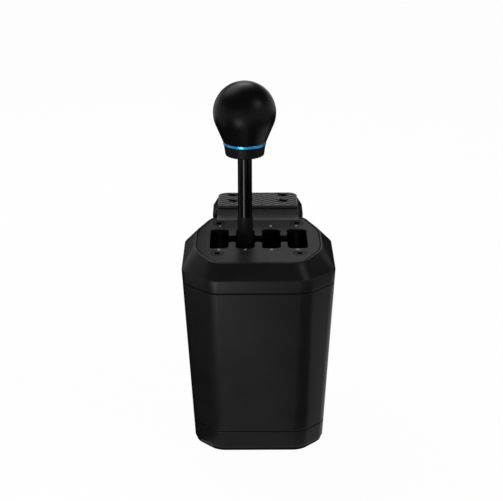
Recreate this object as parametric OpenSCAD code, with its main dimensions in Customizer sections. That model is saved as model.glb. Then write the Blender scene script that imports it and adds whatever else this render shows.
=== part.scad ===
// H-pattern gear shifter for a racing simulator: tapered housing, slotted gate plate, ball-topped lever
// on a two-axis pivot, and a slotted mounting bracket behind the plate.
// Origin: underside of the foot pad below the middle of the gate. +X right, +Y away from the driver, +Z up.

/* [Housing] */
// Height of the gate plate's top face above the floor
gate_z = 167; // [150:1:190]
// Drop from the plate's face to the edge where the sloping shoulder meets the band
shoulder_drop = 12; // [9:0.5:16]
// Drop from the plate's face to the seam under the band
seam_drop = 23.5; // [21:0.5:30]
// Height of the seam above the base tray
base_seam_z = 18.2; // [14:0.2:24]
// Half width of the housing at the shoulder
top_half = 63.6; // [58:0.2:70]
// Half width of the housing at the floor
foot_half = 54.2; // [52:0.2:58]
// Reach of the front face towards the driver at the shoulder
top_front = 68.2; // [64:0.2:76]
// Reach of the front face towards the driver at the floor
foot_front = 64.8; // [62:0.2:70]
// Reach of the upright back wall behind the gate's middle
body_back = 64; // [62.4:0.2:72]
// Width of the front corner facets at the shoulder
front_facet_w = 23.6; // [16:0.2:26]
// Depth of the front corner facets at the shoulder
front_facet_d = 25; // [16:0.5:28]
// Width of the front corner facets at the floor
foot_facet_w = 18.6; // [14:0.2:24]
// Width of the long rear corner facets
rear_facet_w = 15; // [8:0.5:20]
// Depth of the long rear corner facets
rear_facet_d = 34.5; // [34:0.5:44]
// Rounding between the faces of the housing
body_round = 16; // [8:0.5:18]
// Thickness of the moulded walls
wall = 3; // [2:0.1:4]
// Open joint between two mouldings
seam_gap = 0.5; // [0.3:0.1:0.9]
// Height of the softened edge between the band and the shoulder
edge_round = 1.2; // [0.6:0.1:2]
// Height of the lip that lines two mouldings up
lip_h = 3; // [2:0.5:4]
// Thickness of that lip
lip_t = 1.6; // [1.2:0.1:2]
// Thickness of the rubber foot pad
foot_t = 2.4; // [2.2:0.1:4]
// How far the foot pad's edge lies inside the housing
foot_inset = 1.2; // [0.5:0.1:3]
// Thickness of the base tray's floor
tray_floor = 3; // [2.5:0.1:4]

/* [Gate plate] */
// Thickness of the steel plate
plate_t = 3; // [2:0.1:4]
// Half width of the plate
plate_half = 51.6; // [50.4:0.2:53]
// Reach of the plate towards the driver
plate_front = 57.3; // [55:0.1:59]
// Reach of the plate away from the driver
plate_back = 58.8; // [57:0.1:59]
// Width of the plate's front corner facets
plate_front_facet_w = 16.6; // [14:0.2:18]
// Depth of the plate's front corner facets
plate_front_facet_d = 30.3; // [26:0.1:32]
// Width of the plate's rear corner facets
plate_rear_facet_w = 14; // [10:0.2:14.4]
// Depth of the plate's rear corner facets
plate_rear_facet_d = 38.8; // [34:0.1:42]
// Rounding of the plate's corners
plate_round = 13; // [8:0.5:15]
// Rounding of the plate's long corners, where the facets meet its sides
plate_side_round = 42; // [30:1:50]
// Shadow groove between the plate and the cap
plate_groove = 0.7; // [0.3:0.1:1.2]
// Rim of the cap outside the groove
rim_w = 1.6; // [1:0.1:2.4]
// Ledge of the cap under the plate's edge
ledge_w = 3.6; // [2.5:0.1:3.8]
// Thickness of that ledge
ledge_t = 2.5; // [2:0.1:4]
// Distance between neighbouring lanes
lane_pitch = 22; // [21:0.1:22.4]
// Width of the three left lanes
lane_w = 15.4; // [15:0.1:16]
// Width of the rightmost lane, where the lever leans most
right_lane_w = 16.6; // [16.2:0.1:17]
// Length of the lanes
lane_len = 48; // [47.4:0.2:52]
// Width of the neutral channel
channel_w = 15.4; // [14.6:0.1:17]
// Rounding of the lips between the lanes and the channel
lip_round = 2.6; // [1:0.1:2.8]
// Rounding of the lanes' ends
lane_round = 4; // [2:0.1:4.4]
// Sideways reach of the corner screws
screw_x = 34; // [33:0.2:35]
// Reach of the front screws towards the driver
screw_front = 36; // [34.5:0.2:38]
// Reach of the rear screws away from the driver
screw_rear = 40; // [38:0.2:41]
// Radius of the M5 screws' shanks
screw_r = 2.5; // [2:0.1:2.8]
// Radius of the countersunk heads
screw_head_r = 4.8; // [4.4:0.1:5.2]
// Height of the countersunk heads
screw_head_h = 2.3; // [1.5:0.1:2.5]
// Length of the gate screws
screw_len = 16; // [12:0.5:20]
// Radius of the pillars that carry the plate
pillar_r = 5; // [4.4:0.1:5.2]

/* [Rear bracket] */
// Height of the bracket's grip above the gate plate
bracket_rise = 9.8; // [8:0.1:14]
// Front face of the bracket behind the gate's middle
bracket_front = 59.4; // [59.2:0.1:61]
// Rear edge of the bracket behind the gate's middle
bracket_back = 98.6; // [97:0.2:110]
// Half width of the bracket where it meets the cap
bracket_half_low = 40; // [37:0.2:44]
// Half width of the bracket at the grip
bracket_half_top = 36; // [33:0.2:40]
// Rounding of the bracket's front corners
bracket_front_round = 4; // [2:0.5:6]
// Rounding of the bracket's rear corners
bracket_rear_round = 9; // [5:0.5:11]
// Thickness of the grip pad
grip_t = 2.2; // [1.8:0.1:3]
// Bare margin of the grip pad on the bracket
grip_margin = 0.6; // [0.4:0.1:2]
// Distance between slots across the bracket
slot_dx = 44.6; // [42:0.2:48]
// Distance between slots along the bracket
slot_dy = 17; // [15:0.2:20]
// First row of slots behind the bracket's front face
slot_first = 14.8; // [14:0.1:16]
// Half width of a slot, for M6 bolts
slot_r = 3.3; // [2.8:0.1:3.5]
// Length of a slot from end to end
slot_len = 10; // [8:0.2:12]
// Thickness of the upright flange and its gussets
flange_t = 4; // [3:0.1:4.2]
// Drop from the plate's face to the lower edge of the flange
flange_drop = 70; // [67:1:75]
// Gap between the bracket and the housing
bracket_gap = 0.2; // [0.1:0.05:0.4]
// Sideways reach of the bracket's bolts
bolt_x = 22; // [16:0.5:24]
// Drop from the plate's face to the lower bolts
bolt_low_drop = 59; // [55:0.5:61]
// Drop from the plate's face to the upper bolts
bolt_high_drop = 35; // [33:0.5:41]
// Radius of the bracket's M6 bolts
bolt_r = 3; // [2.5:0.1:3.2]
// Radius of their heads
bolt_head_r = 5; // [4.5:0.1:5.6]
// Height of their heads
bolt_head_h = 3.6; // [3:0.1:5]
// Half width of the backing plate inside
backing_half = 30; // [28:0.5:32]
// Thickness of the backing plate
backing_t = 4.5; // [3:0.1:5]
// Height of the backing plate beyond its bolts
backing_margin = 7; // [6:0.5:8]

/* [Lever] */
// Height of the pivot above the floor
pivot_z = 65; // [62:0.5:67]
// Radius of the lever's post where it passes the gate
post_r = 6.5; // [6:0.1:6.6]
// Height of the post's top above the plate
post_rise = 20.5; // [14:0.5:24]
// Radius of the lever's rod
rod_r = 6; // [5.4:0.1:6.2]
// Radius of the rod's turned ends
spigot_r = 4; // [3.5:0.1:4.2]
// Length of the rod's lower end in the post
spigot_low = 28; // [20:1:34]
// Length of the rod's upper end in the knob
spigot_high = 30; // [24:1:32]
// Throw of the lever in a lane, each way
throw_deg = 8.5; // [7:0.1:8.7]
// Depth of the post's socket in the hub
socket_depth = 10; // [8:0.5:11]
// Distance of the locking screw below the post's top
grub_drop = 12; // [8:0.5:14]
// Radius of the locking screw
grub_r = 2; // [1.5:0.1:2]

/* [Knob] */
// Height of the ball's middle above the gate plate
knob_rise = 109.8; // [100:0.2:120]
// Radius of the ball
ball_r = 26; // [24:0.2:28]
// Radius of the knob where it meets the ring
knob_neck_r = 18; // [17.2:0.1:18.6]
// Distance of the ring's top below the ball's middle
ring_drop = 24.4; // [23.5:0.1:26]
// Thickness of the ring
ring_t = 2.4; // [1.6:0.1:3]
// Radius of the ring
ring_r = 17.8; // [17:0.1:18.2]
// Height of the collar under the ring
collar_h = 9.2; // [7.5:0.1:11]
// Radius of the collar at the ring
collar_r = 17.3; // [16.6:0.1:17.6]
// Radius of the collar above its rounded foot
collar_low_r = 16.2; // [15.4:0.1:16.5]
// Rounding of the collar's foot
collar_round = 1.4; // [0.8:0.1:3]
// Radius of the threaded metal core
insert_r = 10; // [8:0.1:11]
// Wall of the collar under the core
collar_floor = 2; // [1.5:0.1:3]
// Top of the metal core above the ball's middle
insert_top = 2; // [0:0.5:6]

/* [Pivot] */
// Outer size of the yoke frame across
yoke_w = 46; // [44:0.5:47]
// Outer size of the yoke frame front to back
yoke_d = 44; // [42:0.5:45]
// Height of the yoke frame
yoke_h = 16; // [15:0.5:18]
// Width of the yoke's window
window_w = 20; // [19:0.2:22]
// Depth of the yoke's window
window_d = 28; // [27:0.5:29]
// Margin of a spring arm beyond its spring
arm_margin = 0.2; // [0.1:0.1:1.5]
// Half depth of the spring arms
arm_half = 8; // [7:0.5:10]
// Thickness of the spring arms
arm_t = 5; // [4:0.2:6]
// Radius of the pivot shaft
shaft_r = 4; // [3:0.1:4.2]
// Radius of the two axles
axle_r = 5; // [4:0.1:5.2]
// Wall of the bushes
bush_wall = 2; // [1.5:0.1:2.5]
// Radius of the axle bushes' flanges
bush_flange_r = 9.5; // [9:0.1:11]
// Running clearance of shafts in bushes
run_gap = 0.03; // [0.02:0.01:0.08]
// Clearance of parts fixed in one another
fit_gap = 0.05; // [0.03:0.01:0.1]
// Clearance between moving faces
side_gap = 0.4; // [0.3:0.05:0.6]
// Depth of the lever's hub front to back
hub_d = 18; // [16:0.5:19]
// Half height of the lever's hub
hub_h = 16; // [15:0.5:18]
// Radius of the hub's foot
stem_r = 7; // [6:0.1:8]
// Length of the hub's foot below the pivot
stem_len = 37; // [34:0.5:39]
// Radius of the click magnet in the foot
foot_magnet_r = 5; // [4:0.1:5.4]
// Thickness of the click magnet
foot_magnet_t = 4; // [3:0.1:5]
// Air gap between the foot and the bowl of keeper pins
click_gap = 0.8; // [0.5:0.1:1.5]
// Radius of a keeper pin
keeper_r = 2; // [1.5:0.1:2.3]
// Length of a keeper pin
keeper_len = 8; // [6:0.5:9]
// Half depth of the bowl block
bowl_half = 14; // [12.5:0.5:15]
// Margin of the bowl block outside the outermost keeper pins
bowl_margin = 5; // [4:0.5:6]
// Height of the bowl's edge above its deepest point
bowl_edge = 7; // [5:0.5:9]

/* [Chassis] */
// Thickness of the chassis floor
chassis_t = 5; // [4:0.5:6]
// Clearance of the chassis floor inside the base tray
chassis_margin = 2.5; // [2:0.1:4]
// Thickness of the uprights that carry the axles
upright_t = 10; // [8:0.5:11]
// Half width of the uprights
upright_half = 16; // [14:0.5:17]
// Gap between an upright and the yoke, which a bush flange fills
upright_gap = 3; // [2.5:0.1:3.5]
// Radius of the centring springs at their wire's middle
spring_r = 4.6; // [4.2:0.1:5]
// Radius of the spring wire
wire_r = 0.8; // [0.6:0.05:1]
// Number of turns of a spring
spring_turns = 9; // [7:1:12]
// Radius of the pegs that hold the springs
peg_r = 3.2; // [2.5:0.1:3.2]
// Height of the pegs
peg_h = 4; // [3:0.5:6]
// Distance of the springs beyond the yoke's sides
spring_out = 5.4; // [5:0.1:6]

/* [Electronics] */
// Thickness of the circuit boards
board_t = 1.6; // [1.2:0.1:2]
// Half width of the main board
board_half = 22; // [21:0.5:24]
// Lower edge of the main board above the chassis floor
board_low = 4; // [3:0.5:6]
// Upper edge of the main board above the axles
board_over = 15; // [12:0.5:18]
// Distance of the main board behind the rear upright
board_gap = 15; // [14:0.5:15.5]
// Radius of the board's stand-offs
standoff_r = 3.5; // [3:0.1:4]
// Radius of the board's M3 screws
board_screw_r = 1.5; // [1.2:0.1:1.6]
// Radius of their heads
board_head_r = 2.75; // [2.4:0.05:3]
// Height of their heads
board_head_h = 2; // [1.5:0.1:2.4]
// Radius of the two sensor magnets
magnet_r = 3.5; // [2.5:0.1:3.8]
// Thickness of the two sensor magnets
magnet_t = 2.5; // [2:0.1:3]
// Air gap between a sensor magnet and its chip
sensor_gap = 1; // [0.6:0.1:1.4]
// Size of a sensor chip
chip = 5; // [4:0.5:6]
// Height of a sensor chip on its board
chip_h = 1; // [0.8:0.1:1.4]
// Outer width of the data socket
socket_w = 9.2; // [8.8:0.1:10]
// Outer height of the data socket
socket_h = 3.6; // [3.4:0.1:4]
// Wall of the data socket
socket_wall = 0.4; // [0.3:0.05:0.6]
// Clear margin of the housing's window round the socket
socket_margin = 1.6; // [1:0.1:2.5]
// Height of the data socket above the chassis floor
socket_z = 15; // [13:0.5:16]

/* [Hidden] */
$fn = 64;
// Steps in one rounded corner of the mouldings
corner_steps = 4;
// Thickness of the slices that hulls run between, and how far a cut runs past a face
slice = 0.05;
past = 1;

// Heights, from the floor up
tray_z = foot_t;
chassis_z = foot_t + tray_floor;
floor_z = chassis_z + chassis_t;
plate_z = gate_z - plate_t;
shoulder_z = gate_z - shoulder_drop;
seam_z = gate_z - seam_drop;
flange_low = gate_z - flange_drop;
bolt_low = gate_z - bolt_low_drop;
bolt_high = gate_z - bolt_high_drop;
knob_z = gate_z + knob_rise;
post_top = gate_z + post_rise;
lip_inset = wall + seam_gap / 2;
edge_in = edge_round / 3;
ledge_step = 0.6;

// The lever stands in the second lane, and the gate is centred on the housing
lanes = [-1.5, -0.5, 0.5, 1.5];
pivot_x = lanes[1] * lane_pitch;
gate_arm = plate_z + plate_t / 2 - pivot_z;
function lane_angle(i) = atan((lanes[i] - lanes[1]) * lane_pitch / gate_arm);

// The yoke, its arms and its axles
arm_low = pivot_z - yoke_h / 2;
upright_y = yoke_d / 2 + upright_gap;
upright_back = upright_y + upright_t;
axle_bush_r = axle_r + bush_wall;
shaft_bush_r = shaft_r + bush_wall;
axle_inset = 1;
axle_start = window_d / 2 + axle_inset;
hub_half = window_w / 2 - side_gap;
shaft_half = yoke_w / 2 - side_gap;

// The clicks: keeper pins stand on a ball about the pivot, just clear of the lever's foot
bowl_r = norm([stem_len, stem_r]) + click_gap;
bowl_left = bowl_r * sin(lane_angle(3)) + keeper_r + bowl_margin;
bowl_right = bowl_r * sin(-lane_angle(0)) + keeper_r + bowl_margin;
bowl_top = pivot_z - bowl_r + bowl_edge;

// The spring arms reach past the yoke's sides and past the bowl
spring_clear = 0.5;
spring_outer = spring_r + wire_r;
arm_x = max(yoke_w / 2 + spring_out, max(bowl_left, bowl_right) + spring_outer + spring_clear);
arm_len = arm_x + spring_outer + arm_margin - yoke_w / 2;

// Screws that hold the bowl down
bowl_ear = 8;
bowl_ear_t = 4;
bowl_screw_r = 2;
bowl_screw_head = 3.6;
bowl_screw_len = bowl_ear_t + chassis_t - 2;
bowl_screw_y = bowl_half + bowl_ear / 2;
bowl_ear_half = bowl_screw_head + 1;

// Electronics
board_y = upright_back + board_gap;
axle_end = board_y - chip_h - sensor_gap - magnet_t;
standoff_edge = 1;
standoff_x = upright_half - standoff_r - standoff_edge;
standoff_clear = 7;
standoff_pitch = 16;
standoffs_z = [floor_z + socket_z + standoff_clear, floor_z + socket_z + standoff_clear + standoff_pitch];
socket_recess = 1;
socket_back = body_back - socket_recess;
socket_mid = floor_z + socket_z;
socket_inner = 6.5;
tongue_w = 6.6;
tongue_h = 0.7;
lever_board_x = shaft_half + magnet_t + sensor_gap + chip_h;
lever_board_h = 15;
lever_board_half = 7;

// Fasteners
thread_spare = 1;
pillar_hole = screw_len - plate_t + thread_spare;
base_head_r = 4.5;
head_recess = 0.4;
head_space = 1;
base_head_h = foot_t - head_recess;
base_thread = 10;
base_screw_len = tray_floor + chassis_t + base_thread;
hex_depth = 1.4;
hex_share = 0.62;
pin_r = 2;
pin_z = hub_h - socket_depth / 2;

// The gate's bracket and its slots. The flange is as wide as the shelf's foot
bracket_low = gate_z + bracket_gap;
flange_half = bracket_half_low;
grip_z = gate_z + bracket_rise - grip_t;
flange_y = body_back + bracket_gap;
slots_y = bracket_front + slot_first + slot_dy / 2;
gusset_h = 40;
gusset_in = 8;

// The insert of the knob ends above the collar's floor
insert_low = knob_z - ring_drop - ring_t - collar_h + collar_floor;
collar_low = knob_z - ring_drop - ring_t - collar_h;
ring_low = knob_z - ring_drop - ring_t;
neck_z = knob_z - ring_drop;

black = [0.05, 0.05, 0.055];
rubber = [0.09, 0.09, 0.095];
grey_plate = [0.17, 0.17, 0.18];
steel = [0.62, 0.63, 0.65];
alloy = [0.7, 0.71, 0.73];
brass = [0.76, 0.62, 0.3];
blue = [0.18, 0.55, 0.74];
green = [0.05, 0.32, 0.16];

function mix(a, b, t) = a + (b - a) * t;

function unit(v) = v / norm(v);

// Points along one corner of an anticlockwise outline, rounded to a radius and then grown
function corner_arc(corners, i, radius, grow) =
  let(
    n = len(corners),
    arrive = unit(corners[i] - corners[(i + n - 1) % n]),
    leave = unit(corners[(i + 1) % n] - corners[i]),
    turn = acos(arrive * leave),
    middle = corners[i] - arrive * radius * tan(turn / 2) + radius * [-arrive.y, arrive.x],
    first = atan2(-arrive.x, arrive.y)
  )
  [for (k = [0 : corner_steps])
    let(a = first + turn * k / corner_steps) middle + (radius + grow) * [cos(a), sin(a)]];

// A flat outline with every corner rounded to its own radius
module rounded_outline(corners, radii, grow = 0) {
  polygon([for (i = [0 : len(corners) - 1]) each corner_arc(corners, i, radii[i], grow)]);
}

// An eight-sided outline, wide in the middle, with its four corners cut. The long corners have side_round
module faceted_outline(half, front, back, front_w, front_d, rear_w, rear_d, round, side_round, grow = 0) {
  rounded_outline([[half - front_w, -front], [half, front_d - front], [half, back - rear_d],
    [half - rear_w, back], [rear_w - half, back], [-half, back - rear_d],
    [-half, front_d - front], [front_w - half, -front]],
    [round, side_round, side_round, round, round, side_round, side_round, round], grow);
}

// The housing's outline at a height, drawn in by inset
module body_outline(z, inset = 0) {
  t = z / shoulder_z;
  facet_w = mix(foot_facet_w, front_facet_w, t);
  faceted_outline(mix(foot_half, top_half, t), mix(foot_front, top_front, t), body_back, facet_w,
    facet_w * front_facet_d / front_facet_w, rear_facet_w, rear_facet_d, body_round, body_round, -inset);
}

module plate_outline(grow = 0) {
  faceted_outline(plate_half, plate_front, plate_back, plate_front_facet_w, plate_front_facet_d,
    plate_rear_facet_w, plate_rear_facet_d, plate_round, plate_side_round, grow);
}

// A thin slice whose top is at a height
module at_height(z) {
  translate([0, 0, z - slice])
    linear_extrude(slice)
      children();
}

// The tapered block of the housing between two heights, drawn in by inset
module body_block(low, high, inset = 0) {
  hull() {
    translate([0, 0, low])
      linear_extrude(slice)
        body_outline(low, inset);
    at_height(high)
      body_outline(high, inset);
  }
}

module at_screws() {
  for (x = [-screw_x, screw_x])
    for (y = [-screw_front, screw_rear])
      translate([x, y, 0])
        children();
}

module at_pivot() {
  translate([pivot_x, 0, pivot_z])
    children();
}

module along_x(r, from, to) {
  translate([from, 0, 0])
    rotate([0, 90, 0])
      cylinder(r = r, h = to - from);
}

module along_y(r, from, to) {
  translate([0, from, 0])
    rotate([-90, 0, 0])
      cylinder(r = r, h = to - from);
}

// A box centred on X and Y, standing on Z
module block(w, d, h) {
  translate([-w / 2, -d / 2, 0])
    cube([w, d, h]);
}

module hex_recess(r) {
  translate([0, 0, -hex_depth])
    cylinder(r = r * hex_share, h = hex_depth + past, $fn = 6);
}

// Rubber sheet the shifter stands on, with holes that reach the base screws
module foot_pad() {
  color(rubber)
    difference() {
      linear_extrude(foot_t)
        body_outline(0, foot_inset);
      at_screws()
        translate([0, 0, -past])
          cylinder(r = base_head_r + head_space, h = foot_t + 2 * past);
    }
}

// Shallow moulded tray whose raised lip lines up the main housing
module base_tray() {
  color(black)
    difference() {
      union() {
        body_block(tray_z, base_seam_z - seam_gap / 2);
        body_block(chassis_z, base_seam_z + lip_h, lip_inset);
      }
      body_block(chassis_z, base_seam_z + lip_h + past, lip_inset + lip_t);
      at_screws()
        cylinder(r = screw_r + fit_gap, h = base_seam_z);
    }
}

module base_screws() {
  color(steel)
    at_screws()
      difference() {
        union() {
          translate([0, 0, tray_z - base_head_h])
            cylinder(r = base_head_r, h = base_head_h);
          translate([0, 0, tray_z])
            cylinder(r = screw_r, h = base_screw_len);
        }
        translate([0, 0, tray_z - base_head_h])
          mirror([0, 0, 1])
            hex_recess(base_head_r);
      }
}

// One upright, with the seat of its axle bush
module upright() {
  difference() {
    union() {
      translate([pivot_x - upright_half, upright_y, floor_z])
        cube([2 * upright_half, upright_t, pivot_z - floor_z]);
      at_pivot()
        along_y(upright_half, upright_y, upright_back);
    }
    at_pivot()
      along_y(axle_bush_r + fit_gap, upright_y - past, upright_back + past);
  }
}

module at_standoffs() {
  for (side = [-1, 1])
    for (z = standoffs_z)
      translate([pivot_x + side * standoff_x, 0, z])
        children();
}

module at_springs() {
  for (side = [-1, 1])
    translate([pivot_x + side * arm_x, 0, 0])
      children();
}

module at_bowl_screws() {
  for (side = [-1, 1])
    translate([pivot_x, side * bowl_screw_y, 0])
      children();
}

module chassis() {
  color(alloy)
    difference() {
      union() {
        translate([0, 0, chassis_z])
          linear_extrude(chassis_t)
            body_outline(chassis_z, lip_inset + lip_t + chassis_margin);
        upright();
        mirror([0, 1, 0])
          upright();
        at_springs()
          translate([0, 0, floor_z])
            cylinder(r = peg_r, h = peg_h);
        at_standoffs()
          along_y(standoff_r, upright_back, board_y);
      }
      at_screws()
        translate([0, 0, chassis_z - past])
          cylinder(r = screw_r + fit_gap, h = chassis_t + 2 * past);
      at_standoffs()
        along_y(board_screw_r + fit_gap, upright_back, board_y + past);
      at_bowl_screws()
        translate([0, 0, floor_z + bowl_ear_t - bowl_screw_len - thread_spare])
          cylinder(r = bowl_screw_r + fit_gap, h = bowl_screw_len + past);
    }
}

// A flanged bush in an upright, for an axle of the yoke
module axle_bush() {
  color(brass)
    at_pivot()
      difference() {
        union() {
          along_y(axle_bush_r, upright_y, upright_back);
          along_y(bush_flange_r, yoke_d / 2 + side_gap, upright_y);
        }
        along_y(axle_r + run_gap, yoke_d / 2, upright_back + past);
      }
}

module front_axle_bush() {
  mirror([0, 1, 0])
    axle_bush();
}

module rear_axle_bush() {
  axle_bush();
}

// The lever's direction in each lane and row, as seen from the pivot
module at_keepers() {
  for (i = [0 : len(lanes) - 1])
    for (row = [-1, 0, 1])
      at_pivot()
        rotate([row * throw_deg, lane_angle(i), 0])
          translate([0, 0, -bowl_r])
            children();
}

// Moulded bowl on the chassis floor, concentric with the pivot
module detent_bowl() {
  color(black)
    difference() {
      union() {
        translate([pivot_x - bowl_left, -bowl_half, floor_z])
          cube([bowl_left + bowl_right, 2 * bowl_half, bowl_top - floor_z]);
        translate([pivot_x, 0, floor_z])
          block(2 * bowl_ear_half, 2 * (bowl_half + bowl_ear), bowl_ear_t);
      }
      at_pivot()
        sphere(r = bowl_r, $fn = 96);
      at_keepers()
        translate([0, 0, -keeper_len - fit_gap])
          cylinder(r = keeper_r + fit_gap, h = keeper_len + past);
      at_bowl_screws()
        translate([0, 0, floor_z - past])
          cylinder(r = bowl_screw_r + fit_gap, h = bowl_ear_t + 2 * past);
    }
}

module bowl_screws() {
  color(steel)
    at_bowl_screws()
      difference() {
        union() {
          translate([0, 0, floor_z + bowl_ear_t - bowl_screw_len])
            cylinder(r = bowl_screw_r, h = bowl_screw_len);
          translate([0, 0, floor_z + bowl_ear_t])
            cylinder(r = bowl_screw_head, h = bowl_screw_head / 2);
        }
        translate([0, 0, floor_z + bowl_ear_t + bowl_screw_head / 2])
          hex_recess(bowl_screw_head);
      }
}

// Soft-iron pins that the magnet in the lever's foot clicks over
module keeper_pins() {
  color(steel)
    at_keepers()
      translate([0, 0, -keeper_len])
        cylinder(r = keeper_r, h = keeper_len - fit_gap);
}

// A round wire wound between two flat faces
rings_per_turn = 8;
wire_sides = 6;
spring_len = arm_low - floor_z;
wire_rise = spring_len - 2 * wire_r - 2 * fit_gap;
wire_rings = spring_turns * rings_per_turn;
function wire_point(i, s) =
  let (turn = 360 * i / rings_per_turn)
  let (side = 360 * s / wire_sides)
  let (r = spring_r + wire_r * cos(side))
  [r * cos(turn), r * sin(turn), wire_r + fit_gap + wire_rise * i / wire_rings + wire_r * sin(side)];
echo(least_gap_between_spring_turns = wire_rise / spring_turns - 2 * wire_r);

module centring_spring(side) {
  points = [for (i = [0 : wire_rings]) for (s = [0 : wire_sides - 1]) wire_point(i, s)];
  skin = [for (i = [0 : wire_rings - 1]) for (s = [0 : wire_sides - 1])
    let (a = i * wire_sides + s)
    let (b = i * wire_sides + (s + 1) % wire_sides)
    each [[a, b + wire_sides, b], [a, a + wire_sides, b + wire_sides]]];
  start = [for (s = [1 : wire_sides - 2]) [0, s, s + 1]];
  last = wire_rings * wire_sides;
  end = [for (s = [1 : wire_sides - 2]) [last, last + s + 1, last + s]];
  color(steel)
    translate([pivot_x + side * arm_x, 0, floor_z])
      polyhedron(points, concat(skin, start, end));
}

module centring_spring_left() {
  centring_spring(-1);
}

module centring_spring_right() {
  centring_spring(1);
}

module gate_pillars() {
  color(steel)
    at_screws()
      difference() {
        translate([0, 0, floor_z])
          cylinder(r = pillar_r, h = plate_z - floor_z);
        translate([0, 0, plate_z - pillar_hole])
          cylinder(r = screw_r + fit_gap, h = pillar_hole + past);
        translate([0, 0, floor_z - past])
          cylinder(r = screw_r + fit_gap, h = base_thread + thread_spare + past);
      }
}

module main_board() {
  low = floor_z + board_low;
  color(green) {
    difference() {
      translate([pivot_x - board_half, board_y, low])
        cube([2 * board_half, board_t, pivot_z + board_over - low]);
      at_standoffs()
        along_y(board_screw_r + fit_gap, board_y - past, board_y + board_t + past);
    }
    at_pivot()
      translate([-chip / 2, board_y - chip_h, -chip / 2])
        cube([chip, chip_h, chip]);
  }
}

module board_screws() {
  color(steel)
    at_standoffs()
      union() {
        along_y(board_screw_r, upright_back + thread_spare, board_y + board_t);
        along_y(board_head_r, board_y + board_t, board_y + board_t + board_head_h);
      }
}

// Data inlet on the board, open to the back of the housing
module data_socket() {
  face = board_y + board_t;
  color(steel)
    translate([0, face, socket_mid])
      union() {
        difference() {
          translate([-socket_w / 2, 0, -socket_h / 2])
            cube([socket_w, socket_back - face, socket_h]);
          translate([-socket_w / 2 + socket_wall, socket_back - face - socket_inner,
            -socket_h / 2 + socket_wall])
            cube([socket_w - 2 * socket_wall, socket_inner + past, socket_h - 2 * socket_wall]);
        }
        translate([-tongue_w / 2, 0, -tongue_h / 2])
          cube([tongue_w, socket_back - face - socket_recess, tongue_h]);
      }
}

module at_bolts() {
  for (x = [-bolt_x, bolt_x])
    for (z = [bolt_low, bolt_high])
      translate([x, 0, z])
        children();
}

module main_housing() {
  color(black)
    difference() {
      body_block(base_seam_z + seam_gap / 2, seam_z - seam_gap / 2);
      body_block(base_seam_z - past, seam_z + past, wall);
      at_bolts()
        along_y(bolt_r + fit_gap, body_back - 2 * wall, body_back + past);
      translate([-socket_w / 2 - socket_margin, body_back - 2 * wall,
        socket_mid - socket_h / 2 - socket_margin])
        cube([socket_w + 2 * socket_margin, 2 * wall + past, socket_h + 2 * socket_margin]);
    }
}

module backing_plate() {
  low = bolt_low - backing_margin;
  color(steel)
    difference() {
      translate([-backing_half, body_back - wall - backing_t, low])
        cube([2 * backing_half, backing_t, bolt_high + backing_margin - low]);
      at_bolts()
        along_y(bolt_r + fit_gap, body_back - 2 * wall - backing_t, body_back);
    }
}

// Shoulder and band round the plate, with a ledge under the plate and a lip inside the main housing
module top_cap() {
  band_top = shoulder_z - edge_round;
  rim = plate_groove + rim_w;
  color(black)
    difference() {
      union() {
        hull() {
          body_block(seam_z + seam_gap / 2, band_top);
          at_height(shoulder_z)
            body_outline(shoulder_z, edge_in);
          at_height(gate_z - edge_in)
            plate_outline(rim);
          at_height(gate_z)
            plate_outline(rim - edge_in);
        }
        body_block(seam_z - lip_h, seam_z + lip_h, lip_inset);
      }
      hull() {
        at_height(seam_z - lip_h - past)
          body_outline(seam_z, lip_inset + lip_t);
        at_height(plate_z - ledge_t)
          plate_outline(ledge_step - ledge_w);
      }
      translate([0, 0, seam_z])
        linear_extrude(gate_z)
          plate_outline(-ledge_w);
      translate([0, 0, plate_z])
        linear_extrude(gate_z)
          plate_outline(plate_groove);
    }
}

// The gate: four lanes and the channel across them
module gate_slots() {
  left = lanes[0] * lane_pitch;
  right = lanes[3] * lane_pitch;
  offset(r = lane_round)
    offset(delta = -lane_round)
      offset(r = -lip_round)
        offset(delta = lip_round) {
          for (i = [0 : len(lanes) - 1])
            translate([lanes[i] * lane_pitch, 0])
              square([i == 3 ? right_lane_w : lane_w, lane_len], center = true);
          translate([left, -channel_w / 2])
            square([right - left, channel_w]);
        }
}

module gate_plate() {
  color(grey_plate)
    difference() {
      translate([0, 0, plate_z])
        linear_extrude(plate_t)
          plate_outline();
      translate([0, 0, plate_z - past])
        linear_extrude(plate_t + 2 * past)
          gate_slots();
      at_screws() {
        translate([0, 0, plate_z - past])
          cylinder(r = screw_r + fit_gap, h = plate_t + 2 * past);
        translate([0, 0, gate_z - screw_head_h])
          cylinder(r1 = screw_r + fit_gap, r2 = screw_head_r + fit_gap, h = screw_head_h);
      }
    }
}

module gate_screws() {
  color(steel)
    at_screws()
      difference() {
        union() {
          translate([0, 0, gate_z - screw_len])
            cylinder(r = screw_r, h = screw_len - screw_head_h);
          translate([0, 0, gate_z - screw_head_h])
            cylinder(r1 = screw_r, r2 = screw_head_r, h = screw_head_h);
        }
        translate([0, 0, gate_z])
          hex_recess(screw_head_r);
      }
}

// The bracket's outline from above, with rounded corners
module bracket_outline(half, grow = 0) {
  rounded_outline([[-half, bracket_front], [half, bracket_front], [half, bracket_back],
    [-half, bracket_back]],
    [bracket_front_round, bracket_front_round, bracket_rear_round, bracket_rear_round], grow);
}

module bracket_slots(low, high) {
  for (x = [-slot_dx / 2, slot_dx / 2])
    for (y = [slots_y - slot_dy / 2, slots_y + slot_dy / 2])
      translate([x, y, low]) {
        block(slot_len - 2 * slot_r, 2 * slot_r, high - low);
        for (end = [-1, 1])
          translate([end * (slot_len / 2 - slot_r), 0, 0])
            cylinder(r = slot_r, h = high - low);
      }
}

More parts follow.
